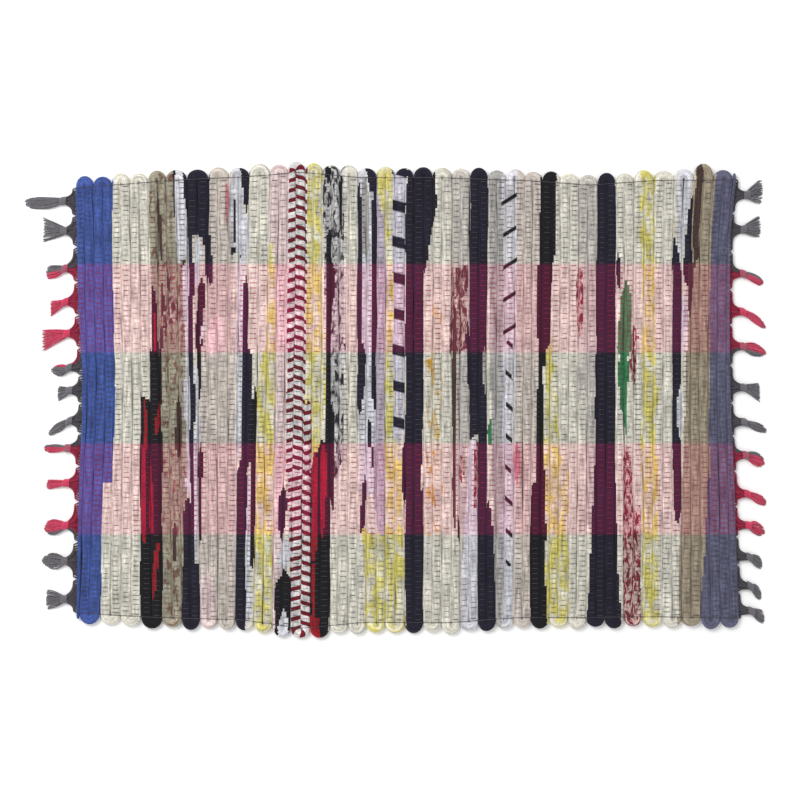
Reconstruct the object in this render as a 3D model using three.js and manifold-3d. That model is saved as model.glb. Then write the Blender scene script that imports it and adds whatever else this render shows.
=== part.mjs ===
// Rag-woven floor mat, lying flat: 71 ribs of rolled rag packed side by side on a thin warp.
// The rag runs to and fro, so it loops round both long edges between one rib and the next.
// The warp ends are knotted into 26 tassels, 13 a side.
// Millimetres, +X along the long side, +Y across it, +Z up, origin under the middle of the outline.
import * as THREE from "three";
import { mergeVertices } from "three/addons/utils/BufferGeometryUtils.js";
import Module from "manifold-3d";

// Woven body
const THICKNESS = 8.6;
const GROOVE_DEPTH = 2.1;
const CREST_START = 0.27;
const CREST_END = 0.73;
const RIB_WOBBLE = 0.5;
const WOBBLE_TURN = 2.4;
const RIB_FULLNESS = 0.35;
const FULLNESS_TURN = 2.1;
// A fringed edge's own curve fades out over this many ribs, which crowd or spread to follow it
const SIDE_FADE = 8;

// Loops of rag past the selvedge warp, each joining two ribs. A swell says how far out on its
// loop a point lies, from 0 to 1, at a rib's groove and at the two sides of its crest.
const OUTWARD_SWELL = [0.2, 0.72, 0.97];
const RETURN_SWELL = [1, 0.97, 0.72];
const END_SWELL = [0.2, 0.5, 0.5];
const LOOP_LENGTH = 9.2;
const LOOP_UNEVENNESS = 1.3;
const LOOP_TURN = 2.7;
const LOOP_ROUNDING = 2.5;
// How high the rounding stands, as a share of half the thickness, on a drawn-in and a full loop
const LOOP_RISE = [0.35, 0.8];
const SELVEDGE_MARGIN = 2.4;

// Tassels
const GAP = 0.3;
const STRIP_DEPTH = 2.0;
const STRIP_HEIGHT = 4.6;
const GATHER_OUT = 4.2;
const GATHER_HALF = 7.5;
const NECK_OUT = 7.6;
const NECK_WIDTH = 6.2;
const DRIFT_EASE = 1.2;
const KNOT_OUT = 14.5;
const KNOT_LENGTH = 8.6;
const KNOT_WIDTH = 8.0;
const KNOT_HEIGHT = 7.2;
const KNOT_MIDDLE = 0.44;
const KNOT_SQUASH = 1.12;
const LOCK_PITCH = 3;
const LOCK_WIDTH = 2.2;
const LOCK_HEIGHT = 2.4;
const LOCK_TAPER = 0.62;
const LOCK_SHORTER = 0.12;
const LOCK_TURN = 3.1;
// How far the locks have spread at the knot, just out of it and at their tips, and where that is
const LOCK_SPREAD = [0.1, 0.68, 1];
const LOCK_STATIONS = [0, 0.42, 1];
const SLIVER = 0.02;

// Where every tenth rib begins, at the far and at the near long edge. The first rib tapers away
// at the near edge and the last at the far edge, where the rag starts and stops.
const RIB_PLACES = [
  { rib: 0, far: -343.5, near: -342.6 },
  { rib: 1, far: -334.1, near: -340.2 },
  { rib: 10, far: -246.4, near: -239.2 },
  { rib: 20, far: -134.6, near: -142.7 },
  { rib: 30, far: -40.9, near: -41.0 },
  { rib: 40, far: 60.5, near: 59.7 },
  { rib: 50, far: 157.5, near: 154.8 },
  { rib: 60, far: 256.4, near: 255.0 },
  { rib: 70, far: 363.0, near: 359.6 },
  { rib: 71, far: 365.5, near: 368.7 },
];

// The two fringed edges, from the far selvedge to the near one
const SIDE_PLACES = [
  { y: 236.5, left: -343.5, right: 365.5 },
  { y: 177.4, left: -341.9, right: 359.4 },
  { y: 102.0, left: -340.2, right: 359.0 },
  { y: 26.9, left: -336.0, right: 359.3 },
  { y: -25.0, left: -336.4, right: 360.6 },
  { y: -75.3, left: -339.2, right: 363.3 },
  { y: -237.6, left: -342.6, right: 368.7 },
];

// The line through the tips of the rag loops, along the two long edges
const TIP_PLACES = [
  { x: -343.5, far: 239.0, near: -239.7 },
  { x: -257.5, far: 246.2, near: -245.1 },
  { x: -167.2, far: 251.0, near: -247.3 },
  { x: -102.7, far: 255.9, near: -256.7 },
  { x: -38.2, far: 250.5, near: -250.5 },
  { x: 58.6, far: 249.9, near: -250.5 },
  { x: 133.8, far: 247.3, near: -245.1 },
  { x: 209.1, far: 242.5, near: -245.1 },
  { x: 284.3, far: 247.3, near: -244.0 },
  { x: 368.7, far: 248.3, near: -246.2 },
];

// One row a tassel: where its warps leave the edge, how far its tip lies from the edge,
// how far the tip drifts along the edge, and how wide its locks spread there
const LEFT_TASSELS = [
  { root: 217.2, reach: 57.0, drift: -4.3, flare: 14.0, yarn: "charcoal" },
  { root: 181.7, reach: 37.6, drift: 1.6, flare: 24.7, yarn: "charcoal" },
  { root: 146.2, reach: 35.5, drift: -9.7, flare: 15.0, yarn: "crimson" },
  { root: 109.7, reach: 31.2, drift: -11.8, flare: 16.0, yarn: "crimson" },
  { root: 73.1, reach: 41.9, drift: -9.7, flare: 22.0, yarn: "crimson" },
  { root: 41.9, reach: 34.4, drift: -9.7, flare: 12.9, yarn: "crimson" },
  { root: 12.9, reach: 28.0, drift: -6.5, flare: 16.0, yarn: "charcoal" },
  { root: -17.2, reach: 37.6, drift: -19.4, flare: 10.8, yarn: "charcoal" },
  { root: -51.6, reach: 40.9, drift: -0.5, flare: 9.4, yarn: "crimson" },
  { root: -88.2, reach: 36.6, drift: -3.2, flare: 11.8, yarn: "crimson" },
  { root: -132.2, reach: 38.2, drift: -5.4, flare: 17.2, yarn: "crimson" },
  { root: -173.1, reach: 39.8, drift: 0.0, flare: 18.0, yarn: "charcoal" },
  { root: -213.9, reach: 34.4, drift: -1.0, flare: 21.5, yarn: "charcoal" },
];
const RIGHT_TASSELS = [
  { root: 218.2, reach: 31.7, drift: 6.5, flare: 24.7, yarn: "charcoal" },
  { root: 181.7, reach: 33.3, drift: 5.4, flare: 22.6, yarn: "charcoal" },
  { root: 138.7, reach: 37.1, drift: -12.9, flare: 10.8, yarn: "crimson" },
  { root: 98.9, reach: 39.8, drift: -20.4, flare: 10.8, yarn: "crimson" },
  { root: 60.2, reach: 39.8, drift: -9.7, flare: 14.0, yarn: "crimson" },
  { root: 15.0, reach: 32.8, drift: -7.5, flare: 19.4, yarn: "charcoal" },
  { root: -20.4, reach: 39.5, drift: -12.9, flare: 9.7, yarn: "charcoal" },
  { root: -55.9, reach: 35.5, drift: -11.3, flare: 15.0, yarn: "crimson" },
  { root: -96.8, reach: 35.5, drift: -14.0, flare: 11.8, yarn: "crimson" },
  { root: -131.2, reach: 32.8, drift: -10.8, flare: 15.0, yarn: "crimson" },
  { root: -163.4, reach: 28.7, drift: -14.0, flare: 14.0, yarn: "charcoal" },
  { root: -192.4, reach: 26.9, drift: -18.3, flare: 14.0, yarn: "charcoal" },
  { root: -221.5, reach: 29.0, drift: -14.0, flare: 15.0, yarn: "charcoal" },
];

const RIBS = RIB_PLACES.at(-1).rib;
const FAR_Y = SIDE_PLACES[0].y;
const NEAR_Y = SIDE_PLACES.at(-1).y;
const { lerp, clamp } = THREE.MathUtils;

// The value of one column of a table where another column reaches "at", straight between rows.
function read(table, key, column, at) {
  const rising = table.at(-1)[key] > table[0][key];
  const row = table.findIndex((r) => (rising ? r[key] >= at : r[key] <= at));
  const next = row < 0 ? table.length - 1 : Math.max(row, 1);
  const a = table[next - 1];
  const b = table[next];
  const share = clamp((at - a[key]) / (b[key] - a[key]), 0, 1);
  return lerp(a[column], b[column], share);
}

// Where the edge between two ribs lies at a height y across the mat. "rib" may be a part of a rib.
function ribX(rib, y) {
  const across = clamp((FAR_Y - y) / (FAR_Y - NEAR_Y), 0, 1);
  const straight = lerp(
    read(RIB_PLACES, "rib", "far", rib),
    read(RIB_PLACES, "rib", "near", rib),
    across,
  );
  const first = SIDE_PLACES[0];
  const last = SIDE_PLACES.at(-1);
  const left = read(SIDE_PLACES, "y", "left", y) - lerp(first.left, last.left, across);
  const right = read(SIDE_PLACES, "y", "right", y) - lerp(first.right, last.right, across);
  const nearLeft = clamp(1 - rib / SIDE_FADE, 0, 1);
  const nearRight = clamp(1 - (RIBS - rib) / SIDE_FADE, 0, 1);
  const wobble = RIB_WOBBLE * Math.sin(WOBBLE_TURN * rib) * Math.sin((Math.PI * rib) / RIBS);
  return straight + left * nearLeft + right * nearRight + wobble;
}

// The swells of a rib at one long edge, where "opens" says whether a loop leaves from it there.
function swells(isEnd, opens) {
  if (isEnd) return END_SWELL;
  return opens ? OUTWARD_SWELL : RETURN_SWELL;
}

// One column of points runs across the mat at each groove and at both sides of each crest.
// share is its place in its rib, and far and near are its swells at the two long edges.
const COLUMNS = [];
for (let rib = 0; rib < RIBS; rib++) {
  const far = swells(rib === RIBS - 1, rib % 2 === 0);
  const near = swells(rib === 0, rib % 2 === 1);
  [0, CREST_START, CREST_END].forEach((share, i) => {
    COLUMNS.push({ rib, share, groove: i === 0, far: far[i], near: near[i] });
  });
}
COLUMNS.push({ rib: RIBS, share: 0, groove: true, far: END_SWELL[0], near: END_SWELL[0] });

// A column's points, from the far tip to the near tip, as [x, y, height above mid-thickness].
// The first and the last lie on the outline, at mid-thickness.
function columnPoints(column) {
  const { rib, share, groove } = column;
  const half = THICKNESS / 2;
  const place = rib + share;
  const full = groove ? half - GROOVE_DEPTH : half;
  const end = (edge, inward, edgeY, loop) => {
    const swell = column[edge];
    const x = ribX(place, edgeY);
    const line = read(TIP_PLACES, "x", edge, x);
    const uneven = LOOP_UNEVENNESS * Math.sin(LOOP_TURN * loop + inward) * swell;
    const tip = line + inward * ((1 - swell) * LOOP_LENGTH + uneven);
    const base = line + inward * (LOOP_LENGTH + SELVEDGE_MARGIN);
    return { x, tip, base, bent: half * lerp(...LOOP_RISE, swell) };
  };
  const far = end("far", -1, FAR_Y, Math.floor(rib / 2));
  const near = end("near", 1, NEAR_Y, Math.floor((rib + 1) / 2));
  const inner = SIDE_PLACES.slice(1, -1).map(({ y }) => [ribX(place, y), y, full]);
  return [
    [far.x, far.tip, 0],
    [far.x, far.tip - LOOP_ROUNDING, far.bent],
    [far.x, far.base, full],
    ...inner,
    [near.x, near.base, full],
    [near.x, near.tip + LOOP_ROUNDING, near.bent],
    [near.x, near.tip, 0],
  ];
}

// Closed body of the weave: an upper and a lower sheet of points that share the outline.
function wovenBody() {
  const columns = COLUMNS.map(columnPoints);
  const rows = columns[0].length;
  const mid = THICKNESS / 2;
  const positions = [];
  const faces = [];
  const index = new Map();
  const vertex = (c, r, side) => {
    const onOutline = c === 0 || c === columns.length - 1 || r === 0 || r === rows - 1;
    const key = onOutline ? `${c},${r}` : `${c},${r},${side}`;
    if (!index.has(key)) {
      const [x, y, height] = columns[c][r];
      const fuller = side > 0 ? RIB_FULLNESS * Math.sin(FULLNESS_TURN * COLUMNS[c].rib + r) : 0;
      index.set(key, positions.length / 3);
      positions.push(x, y, mid + (onOutline ? 0 : side * height + fuller));
    }
    return index.get(key);
  };
  for (let c = 0; c < columns.length - 1; c++) {
    for (let r = 0; r < rows - 1; r++) {
      for (const side of [1, -1]) {
        const a = vertex(c, r, side);
        const b = vertex(c, r + 1, side);
        const d = vertex(c + 1, r, side);
        const e = vertex(c + 1, r + 1, side);
        if (side > 0) faces.push(a, b, e, a, e, d);
        else faces.push(a, e, b, a, d, e);
      }
    }
  }
  return new THREE.BufferGeometry()
    .setAttribute("position", new THREE.Float32BufferAttribute(positions, 3))
    .setIndex(faces);
}

const wasm = await Module();
wasm.setup();

// A closed geometry as a solid that can be joined.
function solid(geometry) {
  const bare = geometry.clone();
  bare.deleteAttribute("normal");
  bare.deleteAttribute("uv");
  const merged = mergeVertices(bare, 1e-4);
  return new wasm.Manifold(
    new wasm.Mesh({
      numProp: 3,
      vertProperties: merged.attributes.position.array,
      triVerts: new Uint32Array(merged.index.array),
    }),
  );
}

// A joined solid back as a geometry.
function geometryOf(made) {
  const { numProp, vertProperties, triVerts } = made.getMesh();
  const positions = new THREE.InterleavedBuffer(vertProperties, numProp);
  return new THREE.BufferGeometry()
    .setAttribute("position", new THREE.InterleavedBufferAttribute(positions, 3, 0))
    .setIndex(new THREE.BufferAttribute(triVerts, 1));
}

// The place "out" from a fringed edge and "along" Y from the tassel's root, on the floor.
// The bundle leaves the edge straight and then drifts.
function tasselPlace(side, tassel, out, along) {
  const progress = clamp((out - STRIP_DEPTH) / (tassel.reach - STRIP_DEPTH), 0, 1);
  const edge = read(SIDE_PLACES, "y", side.column, tassel.root);
  const x = edge + side.sign * out;
  return [x, tassel.root + tassel.drift * progress ** DRIFT_EASE + along];
}

// Gathered warps: a strip along the edge that draws in to the neck, with a flat underside.
function gatheredWarps(side, tassel, low, high) {
  const edgePoint = (y, out) => [read(SIDE_PLACES, "y", side.column, y) + side.sign * out, y];
  const kinks = SIDE_PLACES.map((p) => p.y).filter((y) => y > low && y < high);
  const inner = [low, ...kinks.reverse(), high].map((y) => edgePoint(y, GAP));
  const drawnIn = [
    { out: GATHER_OUT, half: GATHER_HALF },
    { out: NECK_OUT, half: NECK_WIDTH / 2 },
    { out: KNOT_OUT, half: NECK_WIDTH / 2 },
  ];
  const upper = drawnIn.map(({ out, half }) => tasselPlace(side, tassel, out, half));
  const lower = drawnIn.map(({ out, half }) => tasselPlace(side, tassel, out, -half)).reverse();
  const outline = [
    ...inner,
    edgePoint(high, STRIP_DEPTH),
    ...upper,
    ...lower,
    edgePoint(low, STRIP_DEPTH),
  ];
  const shape = new THREE.Shape(outline.map(([x, y]) => new THREE.Vector2(x, y)));
  return new THREE.ExtrudeGeometry(shape, { depth: STRIP_HEIGHT, bevelEnabled: false });
}

// The overhand knot: an egg that is pressed flat where it meets the floor.
function knot(side, tassel) {
  const egg = new THREE.SphereGeometry(0.5, 7, 5);
  egg.rotateX(Math.PI / 2);
  egg.scale(KNOT_LENGTH, KNOT_WIDTH, KNOT_HEIGHT * KNOT_SQUASH);
  const [x, y] = tasselPlace(side, tassel, KNOT_OUT, 0);
  egg.translate(x, y, KNOT_HEIGHT * KNOT_MIDDLE);
  const position = egg.attributes.position;
  for (let i = 0; i < position.count; i++) position.setZ(i, Math.max(position.getZ(i), 0));
  return egg;
}

// One lock of warp ends: a tapering four-sided strand that rests level on the floor.
function lock(side, tassel, index, count) {
  const spread = count > 1 ? (2 * index) / (count - 1) - 1 : 0;
  const shorter = 1 - LOCK_SHORTER * Math.abs(Math.sin(LOCK_TURN * index + tassel.root));
  const length = index === Math.floor(count / 2) ? 1 : shorter;
  const stations = LOCK_STATIONS.map((t, i) => {
    const out = lerp(KNOT_OUT, KNOT_OUT + (tassel.reach - KNOT_OUT) * length, t);
    const along = (spread * (tassel.flare - LOCK_WIDTH) * LOCK_SPREAD[i]) / 2;
    return { at: tasselPlace(side, tassel, out, along), taper: lerp(1, LOCK_TAPER, t) };
  });
  const positions = [];
  const faces = [];
  for (const { at, taper } of stations) {
    const half = (LOCK_WIDTH * taper) / 2;
    const height = LOCK_HEIGHT * taper;
    const [x, y] = at;
    positions.push(x, y - half, 0, x, y + half, 0);
    positions.push(x, y + half * 0.5, height, x, y - half * 0.5, height);
  }
  const quad = (a, b, c, d) =>
    side.sign > 0 ? faces.push(a, b, c, a, c, d) : faces.push(a, c, b, a, d, c);
  quad(0, 3, 2, 1);
  for (let s = 0; s < stations.length - 1; s++) {
    for (let k = 0; k < 4; k++) {
      const here = 4 * s + k;
      const beside = 4 * s + ((k + 1) % 4);
      quad(here, beside, beside + 4, here + 4);
    }
  }
  const end = 4 * (stations.length - 1);
  quad(end, end + 1, end + 2, end + 3);
  return new THREE.BufferGeometry()
    .setAttribute("position", new THREE.Float32BufferAttribute(positions, 3))
    .setIndex(faces);
}

// One tassel as one solid, with its locks fused at the knot and no slivers left at the joins.
function tasselGeometry(side, tassel, low, high) {
  const count = clamp(Math.round(tassel.flare / LOCK_PITCH), 4, 8);
  let made = solid(gatheredWarps(side, tassel, low, high)).add(solid(knot(side, tassel)));
  for (let i = 0; i < count; i++) made = made.add(solid(lock(side, tassel, i, count)));
  return geometryOf(made.simplify(SLIVER));
}

const cloth = (color) => new THREE.MeshStandardMaterial({ color, roughness: 0.9, metalness: 0 });

const mat = new THREE.Group();

const body = new THREE.Mesh(wovenBody(), cloth("#a89f96"));
body.name = "woven_body";
mat.add(body);

const YARN_COLOURS = { charcoal: "#3c3a3e", crimson: "#aa193c" };
const SIDES = [
  { name: "left", column: "left", sign: -1, tassels: LEFT_TASSELS },
  { name: "right", column: "right", sign: 1, tassels: RIGHT_TASSELS },
];
for (const side of SIDES) {
  side.tassels.forEach((tassel, i) => {
    const above = side.tassels[i - 1];
    const below = side.tassels[i + 1];
    const high = above ? (above.root + tassel.root - GAP) / 2 : FAR_Y - SELVEDGE_MARGIN;
    const low = below ? (below.root + tassel.root + GAP) / 2 : NEAR_Y + SELVEDGE_MARGIN;
    const mesh = new THREE.Mesh(
      tasselGeometry(side, tassel, low, high),
      cloth(YARN_COLOURS[tassel.yarn]),
    );
    mesh.name = `tassel_${side.name}_${String(i + 1).padStart(2, "0")}`;
    mat.add(mesh);
  });
}

export default mat;
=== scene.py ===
"""Rag-woven floor mat: thick rolled rags packed side by side across the mat, held by thin warp
yarn in five charcoal and crimson bands, with 13 knotted tassels of warp ends on each short side.

Shapes are worked out in millimetres in the frame's axes (X along the long side, Y across it,
Z up) and become metres when they are put into a mesh.
"""

import math
from functools import partial

import bpy
import numpy as np
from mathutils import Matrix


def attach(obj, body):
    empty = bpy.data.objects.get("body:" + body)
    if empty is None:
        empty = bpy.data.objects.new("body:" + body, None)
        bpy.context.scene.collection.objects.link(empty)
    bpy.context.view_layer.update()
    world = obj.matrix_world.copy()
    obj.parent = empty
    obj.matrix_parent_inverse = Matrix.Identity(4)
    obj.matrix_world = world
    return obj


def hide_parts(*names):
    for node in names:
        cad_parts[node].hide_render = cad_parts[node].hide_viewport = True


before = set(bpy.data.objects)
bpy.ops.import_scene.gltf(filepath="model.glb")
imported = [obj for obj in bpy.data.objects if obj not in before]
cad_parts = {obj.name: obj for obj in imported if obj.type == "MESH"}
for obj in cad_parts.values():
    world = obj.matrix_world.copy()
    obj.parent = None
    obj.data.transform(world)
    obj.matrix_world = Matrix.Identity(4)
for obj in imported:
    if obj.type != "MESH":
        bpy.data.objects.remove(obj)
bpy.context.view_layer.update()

bl_info = {
    "name": "Rag-woven floor mat",
    "version": (1, 0, 0),
    "blender": (4, 5, 0),
    "location": "3D View > Sidebar > Floor mat",
    "description": "Builds a rag-woven floor mat with knotted tassels, and its stage",
    "category": "Add Mesh",
}

MM = 0.001
SEED = 17

# Where ribs begin, at the far and at the near long edge, as in the part's source
RIBS = 71
RIB_AT = np.array([0, 1, 10, 20, 30, 40, 50, 60, 70, 71])
RIB_FAR = np.array([-343.5, -334.1, -246.4, -134.6, -40.9, 60.5, 157.5, 256.4, 363, 365.5])
RIB_NEAR = np.array([-342.6, -340.2, -239.2, -142.7, -41, 59.7, 154.8, 255, 359.6, 368.7])

# The two fringed edges, from the near selvedge to the far one, and how many ribs follow them
SIDE_Y = np.array([-237.6, -75.3, -25, 26.9, 102, 177.4, 236.5])
SIDE_LEFT = np.array([-342.6, -339.2, -336.4, -336, -340.2, -341.9, -343.5])
SIDE_RIGHT = np.array([368.7, 363.3, 360.6, 359.3, 359, 359.4, 365.5])
SIDE_FADE = 8
NEAR_Y, FAR_Y = SIDE_Y[0], SIDE_Y[-1]

# The line through the tips of the rag loops, along the two long edges
TIP_X = np.array([-343.5, -257.5, -167.2, -102.7, -38.2, 58.6, 133.8, 209.1, 284.3, 368.7])
TIP_FAR = np.array([239, 246.2, 251, 255.9, 250.5, 249.9, 247.3, 242.5, 247.3, 248.3])
TIP_NEAR = -np.array([239.7, 245.1, 247.3, 256.7, 250.5, 250.5, 245.1, 245.1, 244, 246.2])

# One row a tassel: where its warps leave the edge, how far its tip lies from the edge, how far
# the tip drifts along the edge, how wide its strands spread there, how round its end is (from 0,
# a cut fan, to 1, a lobe), and how far its middle bellies along the edge
LEFT_TASSELS = [
    (217.2, 57, -4.3, 14, 0.7, -3.5), (181.7, 37.6, 1.6, 24.7, 0, 0),
    (146.2, 35.5, -9.7, 15, 0.5, -2), (109.7, 31.2, -11.8, 16, 0, 0), (73.1, 41.9, -9.7, 22, 0, 1),
    (41.9, 34.4, -9.7, 12.9, 0.9, -4.5), (12.9, 28, -6.5, 16, 0.2, 0),
    (-17.2, 37.6, -19.4, 10.8, 0.8, 0), (-51.6, 40.9, -0.5, 9.4, 0.5, 0),
    (-88.2, 36.6, -3.2, 11.8, 0.3, 0), (-132.2, 38.2, -5.4, 17.2, 0.7, -1.5),
    (-173.1, 39.8, 0, 18, 1, 0), (-213.9, 34.4, -1, 21.5, 0.2, 0),
]
RIGHT_TASSELS = [
    (218.2, 31.7, 6.5, 24.7, 0.2, 0), (181.7, 33.3, 5.4, 22.6, 0.2, 0),
    (138.7, 37.1, -12.9, 10.8, 0.7, 1), (98.9, 39.8, -20.4, 10.8, 0.8, 1.5),
    (60.2, 39.8, -9.7, 14, 1, 0), (15, 32.8, -7.5, 19.4, 0, 1), (-20.4, 39.5, -12.9, 9.7, 0.7, 0),
    (-55.9, 35.5, -11.3, 15, 0.8, 0), (-96.8, 35.5, -14, 11.8, 0.8, 0),
    (-131.2, 32.8, -10.8, 15, 1, 0), (-163.4, 28.7, -14, 14, 0.6, 0),
    (-192.4, 26.9, -18.3, 14, 0.6, 0), (-221.5, 29, -14, 15, 0.4, 0),
]
SIDES = {"left": (-1, SIDE_LEFT, LEFT_TASSELS), "right": (1, SIDE_RIGHT, RIGHT_TASSELS)}

# Warp yarn: 174 ends, in bands that change colour at these places across the mat. The outer
# share of them is drawn to the selvedge, this far inside the loops' tips. Each ends a little way
# out of the fringed edge. It has three points a rib, so many ribs from its middle and so high.
WARPS = 174
WARP_FAR, WARP_NEAR = 234.1, -235.2
BANDS = [
    ("charcoal", 300, 145), ("crimson", 145, 50.5), ("charcoal", 50.5, -46),
    ("crimson", -46, -144), ("charcoal", -144, -300),
]
DRAWN_SHARE, SELVEDGE, WARP_END = 0.2, 11.6, 0.8
POINT_PLACES, POINT_HEIGHTS = [-0.24, 0, 0.24], [0.93, 1, 0.93]

# The rag: which ribs each piece of it holds, the sides and the girth of a ring, the power that
# makes the ring boxier than an ellipse, how far neighbours are pressed into one another, and its
# lengthwise folds: how many, and how wide each is round the rag, in radians
RAG_PIECES = [(0, 17), (18, 35), (36, 53), (54, 70)]
RAG_SIDES, RAG_GIRTH, RAG_POWER = 20, 28, 0.74
SQUEEZE = 0.55
FOLDS, FOLD_WIDTH = 3, 0.33

# Its loops: their rings, how far past the last warp they start, how much plumper they are, and
# one that stands out further
TURN_RINGS, TURN_START, TURN_SWELL = 12, 1.2, 0.08
LONG_LOOPS = {66: 6.5}

# Its two free ends: how far past the last warp each ring lies, its share of the rag's width and
# of its height, and how flat it is drawn
END_OUT = np.array([1.6, 3.6, 5.4, 6.6, 7.2])
END_WIDTH = np.array([1, 0.95, 0.8, 0.5, 0.12])
END_HEIGHT = np.array([1, 1, 0.8, 0.5, 0.12])
END_FLAT = np.array([0.5, 0.9, 1, 1, 1])

# What a ring of the rag holds: its middle and its direction to the right, half its width, its
# share of the height, how far a warp presses on it from above and from beneath, the rib at its
# middle and how that changes to the right, and the warp there: crimson 1, charcoal 0, none -1
COLUMNS = "x y right_x right_y half height over under rib rib_change yarn"
RING = np.dtype([(column, float) for column in COLUMNS.split()])

# What is done to the colour of the rags where the warps cross them: a painted shade over all of
# them for the shade within the weave, tinted where the yarn is crimson, the crimson that the
# crimson yarn's stray fibres add, how much the painted shade differs from warp to warp, for the
# shade of each pinch, and painted light under a warp and painted shade over one
FUZZ_TINT_AND_WEAVE_SHADE = {"charcoal": (0.84, 0.84, 0.85), "crimson": (0.957, 0.80, 0.845)}
FUZZ_CRIMSON = (0.05, 0, 0.016)
PINCH_SHADE_SPREAD, PAINTED_LIGHT_UNDER_WARP, PAINTED_SHADE_OVER_WARP = (0.89, 1.09), 1.06, 0.94

# A tassel's gathered warps: how far out they start, run along each fringed edge, innermost and
# outermost, and how late they turn out to the knot
GATHER_START = 0.6
GATHER_OUT = {"left": (1.0, 4.9), "right": (0.8, 2.7)}
GATHER_TURN = {"left": 3.5, "right": 6.0}

# Its knot: how far out its middle is, its wraps of yarn, the turns of each, where the first
# starts from the middle, the stretch they cover, the slant of a wrap, and the knot's half size
KNOT_OUT, WRAPS, WRAP_TURNS = 14.5, 6, 1.2
WRAP_START, WRAP_STRETCH, WRAP_SLANT = -3.4, 6.0, 1.1
KNOT_HALF_WIDTH, KNOT_HALF_HEIGHT, KNOT_MIDDLE = 3.7, 2.8, 3.7

# Its strands: how many a warp, their rings and girth, how much thicker the gathered warps and
# the wraps are, and how much paler loose yarn is painted than yarn drawn tight, a painted
# highlight for its stray fibres that catch the light
STRANDS, STRAND_RINGS, STRAND_GIRTH = 3, 7, 3
THICKER, LOOSE_PAINTED_LIGHT = 1.6, 2.1

# A tube's flat layout in its row of the unit square: the longest one's width, the margin beneath
# and the height as shares of the row, its caps' places and their size, at the most and as a
# share of the row, and the margin round a set of tubes
FLAT_WIDTH, FLAT_MARGIN, FLAT_HEIGHT = 0.98, 0.06, 0.88
CAP_ACROSS, CAP_UP = 0.992, (0.25, 0.75)
CAP_SIZE, CAP_SHARE = 0.005, 0.2
SET_MARGIN = 0.01

# The worn fabrics that the rags were torn from: name, ground, and any pattern and its colour. A
# print's numbers are the size of its blots in mm and how much of the ground they cover. Dashes
# have their repeat in mm, the share of it that is coloured, their slant round the rag, and how
# far along they are shifted in mm. Strokes are the same, but straight across the ribs.
FABRIC_ROWS = """
blue_jersey 43599E
cream_cotton DDD9CB
khaki_cotton A0947F
khaki_print A29C88 print 7A5A4C 6 0.25
brown_cotton 4A3630
black_jersey 151317
navy_cotton 1E1B2C
red_jersey 9A1824
white_cotton D2D2D8
beige_cotton CCC2B8
pink_cotton E2CCCA
rose_cotton C9808A
yellow_print DCD8C2 print D8CE72 12 0.58
orange_print DCD7C6 print D6A848 12 0.15
red_ticking DEDAD8 dashes 701222 10.75 0.42 0.35 0
red_ticking_back DEDAD8 dashes 701222 10.75 0.42 -0.4 0
grey_cotton ADAAA6
grey_print C6C4C2 print 2C2A2E 6 0.4
maroon_print D0B4AC print 7A2430 4 0.55
brown_print BDB0A0 print 5A3A36 6 0.6
pale_grey_cotton C4BEB6
lilac_cotton B9AEBB
slate_cotton 62627A
green_cotton 3A7E52
black_strokes D6D4D8 strokes 141216 34.9 0.14 -0.622 0
black_marks D6D4D8 strokes 141216 33.9 0.16 0.892 0
navy_blocks D0CCD6 strokes 1E1B2E 38.7 0.3 0.25 15.2
"""
FABRICS = {row.split()[0]: row.split()[1:] for row in FABRIC_ROWS.split("\n")[1:-1]}

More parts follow.
